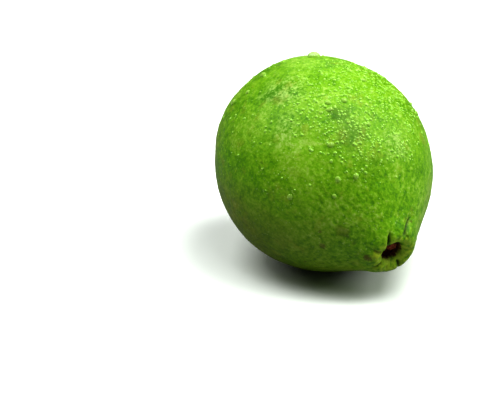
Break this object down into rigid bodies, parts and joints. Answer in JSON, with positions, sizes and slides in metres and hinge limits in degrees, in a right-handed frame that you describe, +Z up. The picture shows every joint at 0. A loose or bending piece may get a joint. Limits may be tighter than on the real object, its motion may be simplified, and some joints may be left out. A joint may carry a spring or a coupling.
{
  "type": "guava",
  "caption": "Whole green guava lying on its side: a broad round body that tapers to a short puckered neck round the stem scar, with a small calyx crown at the far end.",
  "frame": {"origin": "middle of the flat spot that the fruit rests on", "axes": "+Z up; the stem end points to +X, -Y and a little down, the calyx end the other way; +Y is the longest side of the box"},
  "size_m": [0.0752, 0.08, 0.0715],
  "materials": {
    "skin": "waxy, mottled lime green, a little pebbled",
    "stem_scar": "rough, dried, red-brown",
    "dried_calyx": "rough, dried, brown",
    "water": "clear wet drops"
  },
  "bodies": {
    "root": {"guava": "skin"}
  },
  "joints": []
}
